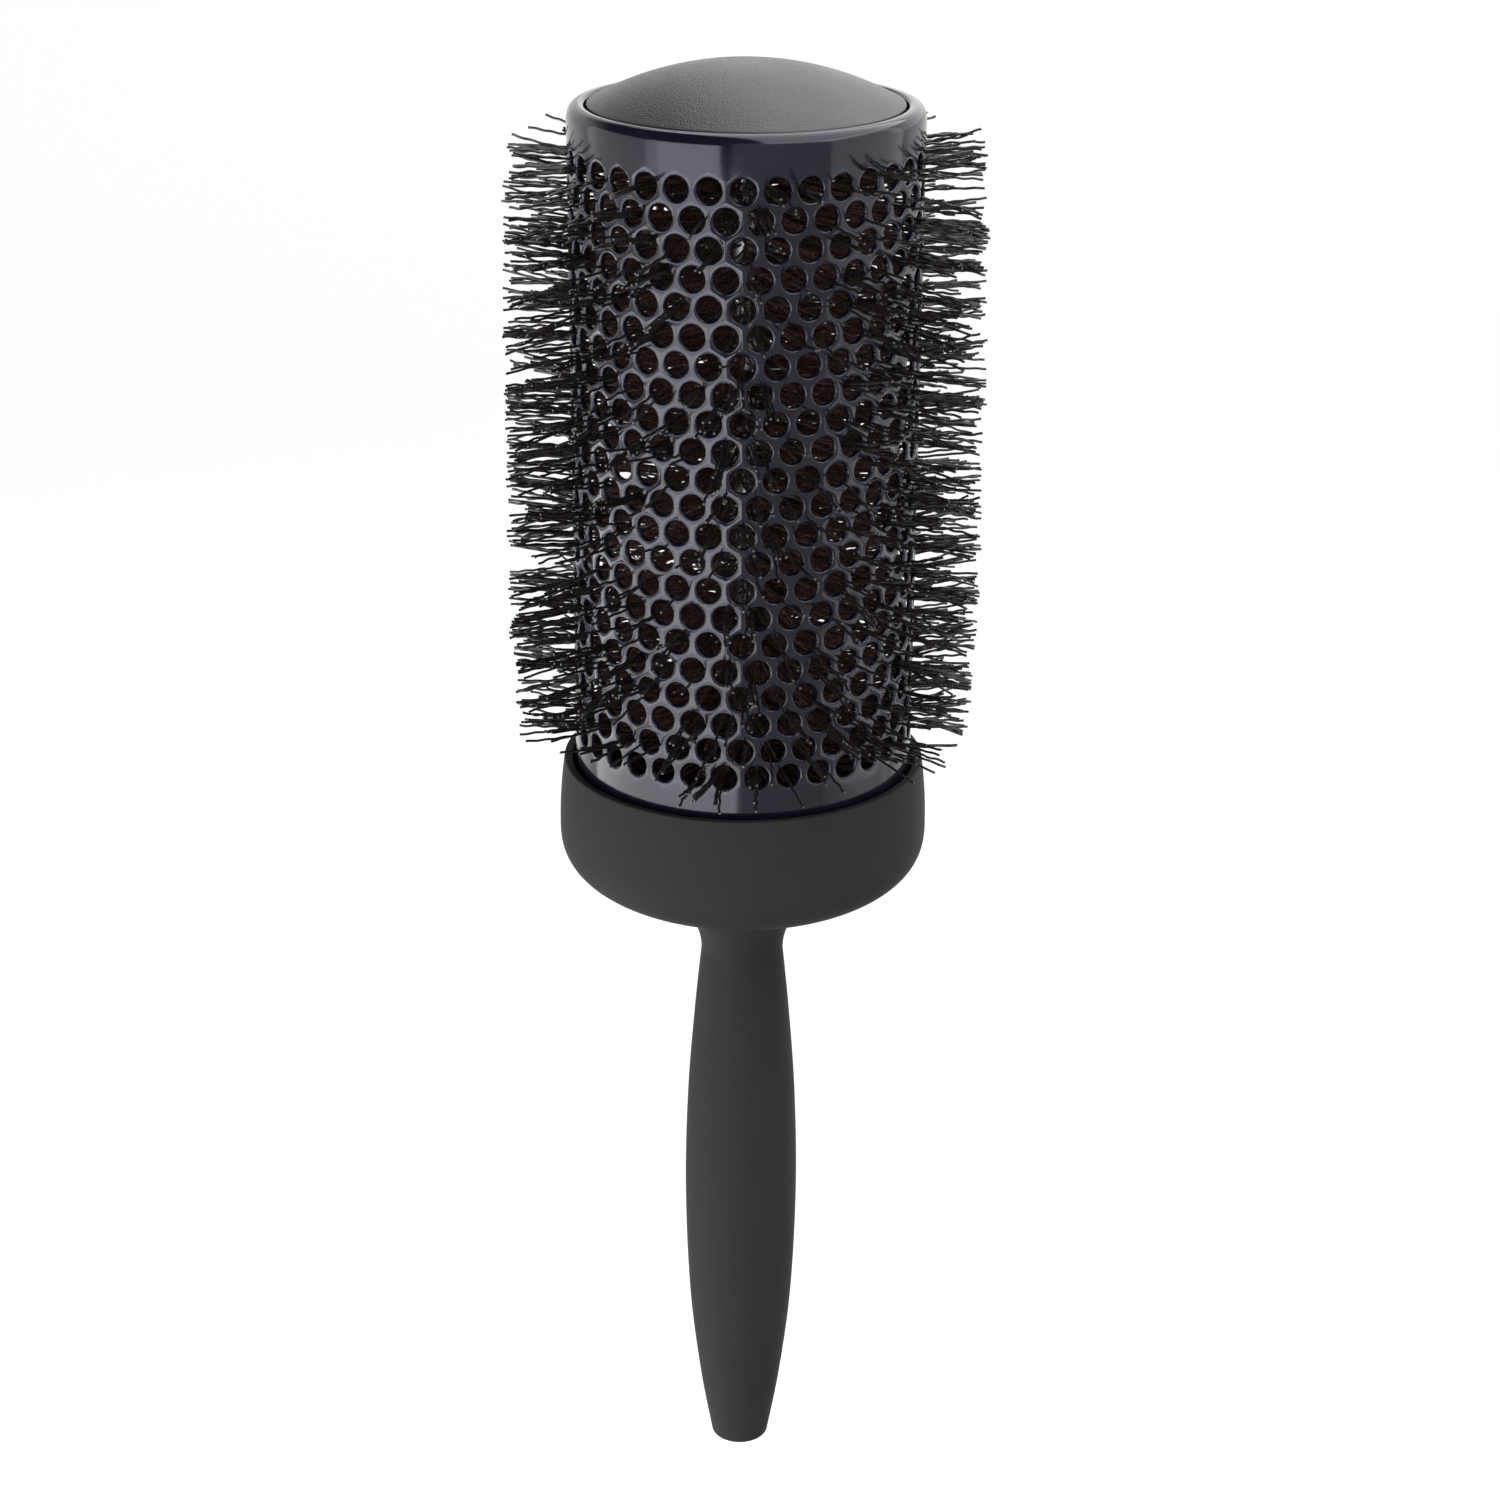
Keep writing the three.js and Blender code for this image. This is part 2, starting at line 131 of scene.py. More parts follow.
# chances that a hole holds none, one, two or three strands: at the front, and at the sides
HOLE_STRANDS_FRONT = np.array((0.32, 0.38, 0.23, 0.07))
HOLE_STRANDS_SIDE = np.array((0.02, 0.14, 0.40, 0.44))
BACK_SIDEWAYS = 0.5  # how far the back half goes from the front's chances to the sides'
STRAND_SIZES = (0.52, 0.28, 0.14, 0.06)  # chances of one to four filaments in a strand
MOST_RISE = 4.5 * MM  # between a filament's height at the stem and at its hole
ENCLOSED = 90  # filaments of each bristle node that end inside the barrel
ENCLOSED_BELOW = 200  # more of them, below the last row of holes
ENCLOSED_Z = 120.5 * MM
ENCLOSED_LENGTHS = (17 * MM, 20.5 * MM)
ENCLOSED_SLOPE = 0.04
STATIONS = 25  # points along a filament, inside the barrel and again outside it
FILAMENT_SIDES = 5
START_R = 1.6 * MM  # where the filaments leave the stem
START_SPREAD_UP = (2.8 * MM, 0.6 * MM)  # of a strand, and of its filaments from each other
START_SPREAD_SIDEWAYS = (0.8 * MM, 0.3 * MM)
BARE_STEM_BELOW = 14 * MM  # ends of the stem that hold no filaments
BARE_STEM_ABOVE = 4 * MM
SPOT_SPREAD = (0.55, 0.25 * MM)  # within a hole: of strands, as a share of its room, and of filaments
BEND = (0.0065, 0.0045)  # curvature of a strand and of its filaments, per mm
BEND_LEAD = 3 * MM  # outside, the bend goes on as if it had begun this far inside the wall
TIP_SPREAD = 0.45 * MM
SHORT_CHANCE = 0.10
SHORT_BY = 3 * MM
SEED = 4100
STEM_WIRE_R = 1.0 * MM
STEM_WIRE_SIDES = 14
STEM_HELIX_R = 1.15 * MM
STEM_PITCH = 20 * MM
STEM_POINTS_PER_TURN = 28


# ---- camera ----
LENS = 74.53  # in mm, on a sensor 36 mm wide
SHIFT = 0.0046
PITCH = math.radians(22.07)
ROLL = 0.005165
CAMERA_DISTANCE = 457.3 * MM
CAMERA_ABOVE = 90.7 * MM  # over the top row of holes


def make_camera():
    data = bpy.data.cameras.new("camera")
    data.sensor_width = 36
    data.lens = LENS
    data.shift_x = SHIFT
    data.clip_start = 0.01
    data.clip_end = 100
    camera = bpy.data.objects.new("camera", data)
    bpy.context.scene.collection.objects.link(camera)
    forward = Vector((0, math.cos(PITCH), -math.sin(PITCH)))
    level = Vector((1, 0, 0))
    upright = Vector((0, math.sin(PITCH), math.cos(PITCH)))
    right = level * math.cos(ROLL) + upright * math.sin(ROLL)
    up = upright * math.cos(ROLL) - level * math.sin(ROLL)
    axes = Matrix((right, up, -forward)).transposed()
    place = Matrix.Translation((0, -CAMERA_DISTANCE, TOP_ROW_Z + CAMERA_ABOVE))
    camera.matrix_world = place @ axes.to_4x4()
    bpy.context.scene.camera = camera


make_camera()
bpy.context.scene.view_settings.view_transform = "Standard"


# ---- meshes ----
def new_piece(name, points, groups, looks, sharp_angle=None):
    """A mesh object from points and groups of faces: (array of corner indices, material index)."""
    mesh = bpy.data.meshes.new(name)
    points = np.asarray(points, np.float32)
    mesh.vertices.add(len(points))
    mesh.vertices.foreach_set("co", points.ravel())
    groups = [(np.asarray(faces, np.int32), index) for faces, index in groups if len(faces)]
    corners = np.concatenate([faces.ravel() for faces, _ in groups])
    sizes = np.concatenate([np.full(len(faces), faces.shape[1]) for faces, _ in groups])
    indices = np.concatenate([np.full(len(faces), index) for faces, index in groups])
    mesh.loops.add(len(corners))
    mesh.loops.foreach_set("vertex_index", corners)
    mesh.polygons.add(len(sizes))
    mesh.polygons.foreach_set("loop_start", np.concatenate([[0], np.cumsum(sizes)[:-1]]).astype(np.int32))
    mesh.polygons.foreach_set("material_index", indices.astype(np.int32))
    mesh.polygons.foreach_set("use_smooth", np.ones(len(sizes), bool))
    for look in looks:
        mesh.materials.append(look)
    mesh.update(calc_edges=True)
    mesh.validate()
    if sharp_angle is not None:
        mesh.set_sharp_from_angle(angle=math.radians(sharp_angle))
    piece = bpy.data.objects.new(name, mesh)
    bpy.context.scene.collection.objects.link(piece)
    return piece


def arc(centre_r, centre_z, radius_r, radius_z, start, end, steps, roundness=2.0):
    """Points of an elliptical arc between two angles in degrees, ends included. A roundness over 2
    makes it a fuller, superelliptical arc."""
    angles = np.radians(np.linspace(start, end, steps + 1))
    across, along = np.cos(angles), np.sin(angles)
    across = np.sign(across) * np.abs(across) ** (2 / roundness)
    along = np.sign(along) * np.abs(along) ** (2 / roundness)
    return list(zip(centre_r + radius_r * across, centre_z + radius_z * along))


def turned(name, profile, segments, looks, sharp_angle=40):
    """A solid of revolution about Z. The profile runs so that the solid is on its left."""
    angles = TURN * np.arange(segments) / segments
    points, rings = [], []
    for r, z in profile:
        if r < 1e-7:
            rings.append(np.full(segments, len(points)))
            points.append((0, 0, z))
        else:
            rings.append(len(points) + np.arange(segments))
            points.extend((r * math.cos(a), r * math.sin(a), z) for a in angles)
    quads, triangles = [], []
    closed = profile[0][0] > 1e-7
    for low, high in zip(rings, rings[1:] + rings[:1] if closed else rings[1:]):
        low_next, high_next = np.roll(low, -1), np.roll(high, -1)
        if low[0] == low[1]:
            triangles.append(np.stack([low, high_next, high], 1))
        elif high[0] == high[1]:
            triangles.append(np.stack([low, low_next, high], 1))
        else:
            quads.append(np.stack([low, low_next, high_next, high], 1))
    groups = [(np.concatenate(quads), 0)]
    if triangles:
        groups.append((np.concatenate(triangles), 0))
    return new_piece(name, points, groups, looks, sharp_angle)


def smooth_line(stations, steps):
    """A uniform Catmull-Rom curve through [height, radius] stations, as (radius, height) points."""
    at = np.array([(r, z) for z, r in stations])
    at = np.vstack([at[:1], at, at[-1:]])
    line = []
    spans = len(stations) - 1
    for t in np.linspace(0, spans, steps + 1):
        k = min(int(t), spans - 1)
        a, b, c, d = at[k : k + 4]
        w, v0, v1 = t - k, (c - a) / 2, (d - b) / 2
        line.append((2 * b - 2 * c + v0 + v1) * w**3 + (3 * c - 3 * b - 2 * v0 - v1) * w**2 + v0 * w + b)
    return [tuple(p) for p in line]


# ---- materials ----
class Look:
    """A procedural material, with short calls for the nodes that the looks below share."""

    def __init__(self, name, **values):
        self.material = bpy.data.materials.new(name)
        self.material.use_nodes = True
        self.nodes = self.material.node_tree.nodes
        self.links = self.material.node_tree.links
        self.shader = self.nodes["Principled BSDF"]
        self.place = self.nodes.new("ShaderNodeTexCoord").outputs["Object"]
        for socket, value in values.items():
            self.shader.inputs[socket.replace("_", " ")].default_value = value

    def noise(self, size, detail=2.0, roughness=0.5):
        """Noise whose features are about size metres across."""
        node = self.nodes.new("ShaderNodeTexNoise")
        node.inputs["Scale"].default_value = 1 / size
        node.inputs["Detail"].default_value = detail
        node.inputs["Roughness"].default_value = roughness
        self.links.new(self.place, node.inputs["Vector"])
        return node.outputs["Fac"]

    def span(self, value, low, high, to_low, to_high):
        node = self.nodes.new("ShaderNodeMapRange")
        self.links.new(value, node.inputs["Value"])
        for name, number in zip(("From Min", "From Max", "To Min", "To Max"), (low, high, to_low, to_high)):
            node.inputs[name].default_value = number
        return node.outputs["Result"]

    def from_axis(self):
        """Distance from the axis of the brush."""
        flat = self.nodes.new("ShaderNodeVectorMath")
        flat.operation = "MULTIPLY"
        self.links.new(self.place, flat.inputs[0])
        flat.inputs[1].default_value = (1, 1, 0)
        length = self.nodes.new("ShaderNodeVectorMath")
        length.operation = "LENGTH"
        self.links.new(flat.outputs[0], length.inputs[0])
        return length.outputs["Value"]

    def blend(self, factor, a, b):
        """Mixes two colours, each a tuple or a socket."""
        node = self.nodes.new("ShaderNodeMix")
        node.data_type = "RGBA"
        self.links.new(factor, node.inputs["Factor"])
        for socket, colour in ((node.inputs[6], a), (node.inputs[7], b)):
            if isinstance(colour, tuple):
                socket.default_value = (*colour, 1)
            else:
                self.links.new(colour, socket)
        return node.outputs[2]

    def colour(self, socket):
        self.links.new(socket, self.shader.inputs["Base Color"])

    def roughness(self, socket):
        self.links.new(socket, self.shader.inputs["Roughness"])

    def bump(self, *layers):
        """Stacks bumps: (height socket, depth in metres, strength) from coarse to fine."""
        normal = None
        for height, depth, strength in layers:
            node = self.nodes.new("ShaderNodeBump")
            node.inputs["Strength"].default_value = strength
            node.inputs["Distance"].default_value = depth
            self.links.new(height, node.inputs["Height"])
            if normal is not None:
                self.links.new(normal, node.inputs["Normal"])
            normal = node.outputs["Normal"]
        self.links.new(normal, self.shader.inputs["Normal"])


def enamel():
    look = Look("barrel_enamel", Roughness=0.12, Specular_Tint=(0.90, 0.89, 1.0, 1))
    tone = look.span(look.noise(9 * MM, 3), 0.35, 0.65, 0, 1)
    look.colour(look.blend(tone, (0.0042, 0.0040, 0.0085), (0.0056, 0.0053, 0.0110)))
    look.roughness(look.span(look.noise(2.2 * MM, 4), 0.3, 0.7, 0.10, 0.15))
    look.bump((look.noise(1.6 * MM, 2), 0.006 * MM, 0.5), (look.noise(0.25 * MM, 1), 0.002 * MM, 0.25))
    return look.material


def barrel_inside():
    look = Look("barrel_inside", Specular_IOR_Level=0.4)
    tone = look.span(look.noise(3 * MM, 4), 0.3, 0.7, 0, 1)
    look.colour(look.blend(tone, (0.28, 0.16, 0.14), (0.38, 0.22, 0.19)))
    look.roughness(look.span(look.noise(0.8 * MM, 3), 0.3, 0.7, 0.35, 0.6))
    look.bump((look.noise(0.5 * MM, 2), 0.01 * MM, 0.4))
    return look.material


def soft_touch(name, light, dark, grain, gloss, relief, smooth):
    """A matte rubbery coat with a fine grain and faint handling marks. Smooth is its least roughness."""
    look = Look(name, Specular_IOR_Level=gloss)
    marks = look.noise(14 * MM, 4, 0.6)
    fine = look.noise(grain, 2, 0.6)
    base = look.blend(look.span(marks, 0.3, 0.7, 0, 1), dark, light)
    speck = look.span(fine, 0.35, 0.75, 0, 0.35)
    look.colour(look.blend(speck, base, tuple(1.25 * c for c in light)))
    look.roughness(look.span(marks, 0.3, 0.7, smooth, smooth + 0.1))
    look.bump((look.noise(1.3 * MM, 2), 0.006 * MM, 0.3), (fine, relief, 0.5))
    return look.material


def moulded_plastic():
    look = Look("moulded_plastic")
    base = look.span(look.noise(4 * MM, 3), 0.3, 0.7, 0, 1)
    look.colour(look.blend(base, (0.010, 0.010, 0.011), (0.018, 0.018, 0.019)))
    look.roughness(look.span(look.noise(0.9 * MM, 3), 0.3, 0.7, 0.42, 0.6))
    look.bump((look.noise(0.2 * MM, 2), 0.008 * MM, 0.4))
    return look.material


def steel():
    look = Look("steel", Metallic=1.0)
    streak = look.noise(0.6 * MM, 5, 0.65)
    look.colour(look.blend(look.span(streak, 0.3, 0.7, 0, 1), (0.42, 0.42, 0.43), (0.58, 0.58, 0.57)))
    look.roughness(look.span(streak, 0.3, 0.7, 0.28, 0.45))
    look.bump((look.noise(0.15 * MM, 2), 0.004 * MM, 0.3))
    return look.material


def nylon():
    """Black filaments. Inside the barrel they are painted paler and browner: painted light for the light
    that reaches them there.
    """
    look = Look("bristle_nylon", Specular_IOR_Level=0.5)
    tone = look.span(look.noise(2.5 * MM, 2), 0.35, 0.65, 0, 1)
    outside = look.blend(tone, (0.0070, 0.0050, 0.0046), (0.0110, 0.0080, 0.0074))
    # painted light: the paler, browner colour of the filaments inside the barrel, set in by distance from
    # the axis
    inside = look.blend(tone, (0.068, 0.040, 0.036), (0.098, 0.057, 0.053))
    look.colour(look.blend(look.span(look.from_axis(), 22 * MM, 26 * MM, 0, 1), inside, outside))
    look.roughness(look.span(look.noise(0.5 * MM, 2), 0.3, 0.7, 0.22, 0.36))
    look.bump((look.noise(0.12 * MM, 1), 0.004 * MM, 0.2))
    return look.material


def cut_nylon():
    look = Look("cut_nylon", Roughness=0.6)
    tone = look.span(look.noise(0.3 * MM, 2), 0.35, 0.65, 0, 1)
    # painted highlight: the cut ends are painted pale for the light their flat cuts catch
    look.colour(look.blend(tone, (0.03, 0.027, 0.025), (0.09, 0.083, 0.078)))
    look.bump((look.noise(0.08 * MM, 1), 0.006 * MM, 0.4))
    return look.material


ENAMEL = enamel()
BARREL_INSIDE = barrel_inside()
SOFT_TOUCH = soft_touch("soft_touch", (0.0225,) * 3, (0.0195,) * 3, 0.16 * MM, 0.04, 0.012 * MM, 0.52)
CAP_SOFT_TOUCH = soft_touch("cap_soft_touch", (0.019,) * 3, (0.015,) * 3, 0.30 * MM, 0.5, 0.19 * MM, 0.32)
MOULDED = moulded_plastic()
STEEL = steel()
NYLON = nylon()
CUT_NYLON = cut_nylon()


# ---- barrel ----
def make_barrel():
    """A tube with every hole, its cells joined edge to edge: each hole sits in a six-sided cell."""
    half = CELL_STEPS  # half the width of a cell, in columns
    columns = 2 * half * HOLES_PER_ROW
    column = TURN / columns
    first = EVEN_ROW_ANGLE - math.pi / HOLES_PER_ROW
    half_width = BARREL_R * column * half
    peak = (half_width**2 + ROW_PITCH**2) / (2 * ROW_PITCH)  # centre to the top corner of a cell
    corner = ROW_PITCH - peak  # centre height to a side corner
    points, shared = [], {}

    def add(angle, r, z):
        points.append((r * math.sin(angle), -r * math.cos(angle), z))
        return len(points) - 1

    def on_edge(col, z, depth):
        key = (col % columns, round(z / MM, 3), round(depth / MM, 3))
        if key not in shared:
            shared[key] = add(first + col * column, BARREL_R - depth, z)
        return shared[key]

    # the outline of a cell, from its lower right corner, in columns and heights from its centre
    outline = []
    corners = [(half, -corner), (half, corner), (0, peak), (-half, corner), (-half, -corner), (0, -peak)]
    for (c0, v0), (c1, v1) in zip(corners, corners[1:] + corners[:1]):
        for k in range(CELL_STEPS):
            outline.append((c0 + (c1 - c0) * k // CELL_STEPS, v0 + (v1 - v0) * k / CELL_STEPS))
    around = len(outline)
    angles = [math.radians(-30) + TURN * k / around for k in range(around)]

    # circles from the start of the rounded edge to the inner end of the hole
    circles = [(HOLE_R + HOLE_EDGE, WEB_DIP)]
    for t in (30, 60, 90):
        grow = HOLE_EDGE * (1 - math.sin(math.radians(t)))
        circles.append((HOLE_R + grow, WEB_DIP + HOLE_EDGE * (1 - math.cos(math.radians(t)))))
    circles.append((HOLE_R, WALL))

    outside, inside = [], []
    for row in range(HOLE_ROWS):
        z0 = TOP_ROW_Z - row * ROW_PITCH
        for cell in range(HOLES_PER_ROW):
            middle = 2 * half * cell + (half if row % 2 else 0)
            a0 = first + middle * column
            rings = [[on_edge(middle + c, z0 + v, 0) for c, v in outline]]
            for r, depth in circles:
                at = [(a0 + r * math.cos(t) / BARREL_R, z0 + r * math.sin(t)) for t in angles]
                rings.append([add(a, BARREL_R - depth, z) for a, z in at])
            rings.append([on_edge(middle + c, z0 + v, WALL) for c, v in outline])
            for level, (a, b) in enumerate(zip(rings, rings[1:])):
                target = inside if level == len(rings) - 2 else outside
                for k in range(around):
                    n = (k + 1) % around
                    target.append((a[k], a[n], b[n], b[k]))

    def zigzag(row, side, depth):
        """The edge that a row's cells leave above (side 1) or below (side -1), as a ring of points."""
        z0 = TOP_ROW_Z - row * ROW_PITCH
        offset = half if row % 2 else 0
        ring = []
        for col in range(columns):
            c = (col - offset + half) % (2 * half) - half
            ring.append(on_edge(col, z0 + side * (peak - (peak - corner) * abs(c) / half), depth))
        return ring

    def circle(r, z):
        return [add(first + col * column, r, z) for col in range(columns)]

    def bridge(rings, target):
        for a, b in zip(rings, rings[1:]):
            for k in range(columns):
                n = (k + 1) % columns
                target.append((a[k], a[n], b[n], b[k]))

    above = TOP_ROW_Z + 0.8 * ROW_PITCH
    below = TOP_ROW_Z - (HOLE_ROWS - 0.2) * ROW_PITCH
    inner_r = BARREL_R - WALL
    draws_in, rises = BARREL_R - LIP_R, BARREL_TOP_Z - SHOULDER_Z
    shoulder = arc(LIP_R, SHOULDER_Z, draws_in, rises, 0, 90, 20, SHOULDER_ROUNDNESS)
    roll = arc(LIP_R, BARREL_TOP_Z - LIP_ROLL, LIP_R - MOUTH_R, LIP_ROLL, 90, 180, 5)
    top = [circle(r, z) for r, z in [(BARREL_R, above), *shoulder, *roll[1:]]]
    under_lip = circle(MOUTH_R, BARREL_TOP_Z - LIP_DEPTH)
    bridge([zigzag(0, 1, 0), *top, under_lip], outside)
    lip_back = circle(LIP_R, BARREL_TOP_Z - LIP_DEPTH)
    inner_top = [circle(inner_r, SHOULDER_Z - 0.3 * MM), circle(inner_r, above)]
    bridge([under_lip, lip_back, *inner_top, zigzag(0, 1, WALL)], inside)
    foot = [
        (BARREL_R, below),
        (BARREL_R, FOOT_BAND_Z),
        (BARREL_R, BARREL_FOOT_Z + FOOT_EDGE),
        (BARREL_R - FOOT_EDGE, BARREL_FOOT_Z),
        (inner_r + FOOT_EDGE, BARREL_FOOT_Z),
        (inner_r, BARREL_FOOT_Z + FOOT_EDGE),
        (inner_r, below),
    ]
    foot = [circle(r, z) for r, z in foot]
    bridge([zigzag(HOLE_ROWS - 1, -1, 0), *foot[:5]], outside)
    bridge([*foot[4:], zigzag(HOLE_ROWS - 1, -1, WALL)], inside)
    barrel = new_piece("barrel_perforated", points, [(outside, 0), (inside, 1)], [ENAMEL, BARREL_INSIDE])
    recalculate_normals(barrel)
    barrel.data.set_sharp_from_angle(angle=math.radians(50))
    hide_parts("barrel")
    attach(barrel, "root")


def recalculate_normals(piece):
    bm = bmesh.new()
    bm.from_mesh(piece.data)
    bmesh.ops.recalc_face_normals(bm, faces=bm.faces)
    bm.to_mesh(piece.data)
    bm.free()


# ---- cap, collar and grip ----
def make_cap():
    rise = DOME_TOP_Z - DOME_RIM_Z
    rim_r = DOME_R - DOME_RIM_EDGE
    sphere_r = (rim_r**2 + rise**2) / (2 * rise)
    centre_z = DOME_TOP_Z - sphere_r
    slope = math.degrees(math.asin(rim_r / sphere_r))
    dome = arc(0, centre_z, sphere_r, sphere_r, 90 - slope, 90, 40)
    rim = arc(rim_r, DOME_RIM_Z - DOME_RIM_EDGE, DOME_RIM_EDGE, DOME_RIM_EDGE, 0, 90 - slope, 5)
    inner_r = DOME_R - DOME_WALL
    under = arc(0, centre_z, sphere_r - DOME_WALL, sphere_r - DOME_WALL, 90, 90 - slope * 0.9, 12)
    under = [(r, z) for r, z in under if r < inner_r - SKIRT_MEETS_DOME]
    profile = [
        *under,
        (inner_r, under[-1][1] - SKIRT_MEETS_DOME),
        (inner_r, SKIRT_Z),
        (DOME_R, SKIRT_Z),
        *rim,
        *dome[1:],
    ]
    cap = turned("end_cap_dome", profile, 160, [CAP_SOFT_TOUCH])
    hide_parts("end_cap")
    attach(cap, "root")


def flare_r(z):
    rise = (z - NECK_Z) / FLARE_HEIGHT
    return NECK_R + FLARE_WIDTH * (1 - math.sqrt(1 - rise * rise))


def make_collar():
    def side_r(z):
        return COLLAR_R - COLLAR_BULGE * (z - COLLAR_WIDEST_Z) ** 2

    flare_top = NECK_Z + 0.97 * FLARE_HEIGHT
    flare_heights = COLLAR_JOINT_Z + (flare_top - COLLAR_JOINT_Z) * np.linspace(0, 1, 16) ** 0.6
    flare = [(flare_r(z), z) for z in flare_heights]
    meets = -math.degrees(math.acos((COLLAR_FLARE_R / COLLAR_R) ** (COLLAR_ROUNDNESS / 2)))
    underside = arc(0, COLLAR_WIDEST_Z, COLLAR_R, COLLAR_FLOOR_DEPTH, meets, 0, 63, COLLAR_ROUNDNESS)
    edge = COLLAR_LIP_EDGE
    side = [(side_r(z), z) for z in np.linspace(COLLAR_WIDEST_Z, COLLAR_LIP_Z - edge, 16)[1:]]
    lip = [
        *arc(side[-1][0] - edge, COLLAR_LIP_Z - edge, edge, edge, 0, 90, 5)[1:],
        *arc(COLLAR_BORE_R + edge, COLLAR_LIP_Z - COLLAR_LIP_DIP - edge, edge, edge, 90, 180, 4),
    ]
    curve_r = COLLAR_BORE_R - COLLAR_INNER_FLOOR_R
    curve_z = COLLAR_BORE_END_Z - COLLAR_INNER_FLOOR_Z
    floor = arc(COLLAR_INNER_FLOOR_R, COLLAR_BORE_END_Z, curve_r, curve_z, 0, -90, 16)
    profile = [
        (CORE_BORE_R, COLLAR_JOINT_Z),
        (flare[0][0] - 1.5 * JOINT_EDGE, COLLAR_JOINT_Z),
        (flare[0][0], COLLAR_JOINT_Z + JOINT_EDGE),
        *flare[1:],
        *underside,
        *side,
        *lip,
        *floor,
        (CORE_BORE_R, COLLAR_INNER_FLOOR_Z),
    ]
    collar = turned("collar_cup_coat", profile, 192, [SOFT_TOUCH])
    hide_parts("collar_cup")
    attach(collar, "root")


def make_grip():
    stations = [(z * MM, r * MM) for z, r in GRIP_STATIONS] + [(NECK_Z, NECK_R)]
    side = smooth_line(stations, 96)
    edge_r = side[0][0] - GRIP_END_R
    end_edge = arc(GRIP_END_R, side[0][1], edge_r, side[0][1], -90, 0, 6)
    flare = [(flare_r(z), z) for z in np.linspace(NECK_Z, GRIP_TOP_Z - JOINT_EDGE, 12)[1:]]
    profile = [
        (0, 0),
        *end_edge,
        *side[1:],
        *flare,
        (flare[-1][0] - JOINT_EDGE, GRIP_TOP_Z),
        (CORE_BORE_R, GRIP_TOP_Z),
        (CORE_BORE_R, CORE_BORE_RING_Z),
        (CORE_BORE_R, CORE_BORE_TAPER_Z),
        (CORE_BORE_END_R, CORE_BORE_END_Z),
        (0, CORE_BORE_END_Z),
    ]
    grip = turned("handle_grip_coat", profile, 128, [SOFT_TOUCH])
    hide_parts("handle_grip")
    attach(grip, "root")


# ---- stem and bristles ----
def tubes(lines, radii, sides):
    """Closed tubes along lines (tubes, points, 3). Returns points, side quads, end caps and start caps."""
    count, length, _ = lines.shape
    along = np.gradient(lines, axis=1)
    along /= np.linalg.norm(along, axis=2, keepdims=True)
    chord = lines[:, -1] - lines[:, 0]
    least = np.abs(chord).argmin(axis=1)
    reference = np.eye(3)[least][:, None, :]
    across = reference - (reference * along).sum(2, keepdims=True) * along
    across /= np.linalg.norm(across, axis=2, keepdims=True)
    over = np.cross(along, across)
    turn = TURN * np.arange(sides) / sides
    cos, sin = np.cos(turn)[:, None], np.sin(turn)[:, None]
    ring = across[:, :, None] * cos + over[:, :, None] * sin
    points = lines[:, :, None] + ring * radii[None, :, None, None]
    index = np.arange(count * length * sides).reshape(count, length, sides)
    after = np.roll(index, -1, axis=2)
    quads = np.stack([index[:, :-1], after[:, :-1], after[:, 1:], index[:, 1:]], -1).reshape(-1, 4)
    return points.reshape(-1, 3), quads, index[:, -1], index[:, 0, ::-1]


def make_stem_wire(node, start):
    turns = (STEM_TOP_Z - STEM_BOTTOM_Z) / STEM_PITCH
    t = np.linspace(0, 1, int(STEM_POINTS_PER_TURN * turns))
    angle = start + TURN * turns * t
    z = STEM_BOTTOM_Z + (STEM_TOP_Z - STEM_BOTTOM_Z) * t
    line = np.stack([STEM_HELIX_R * np.cos(angle), STEM_HELIX_R * np.sin(angle), z], 1)[None]
    radii = np.full(len(t), STEM_WIRE_R)
    radii[[0, -1]] = 0.8 * STEM_WIRE_R
    points, quads, top, bottom = tubes(line, radii, STEM_WIRE_SIDES)
    wire = new_piece(node + "_twisted", points, [(quads, 0), (top, 0), (bottom, 0)], [STEEL], 40)
    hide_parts(node)
    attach(wire, "root")


def unit(vectors):
    return vectors / np.linalg.norm(vectors, axis=-1, keepdims=True)


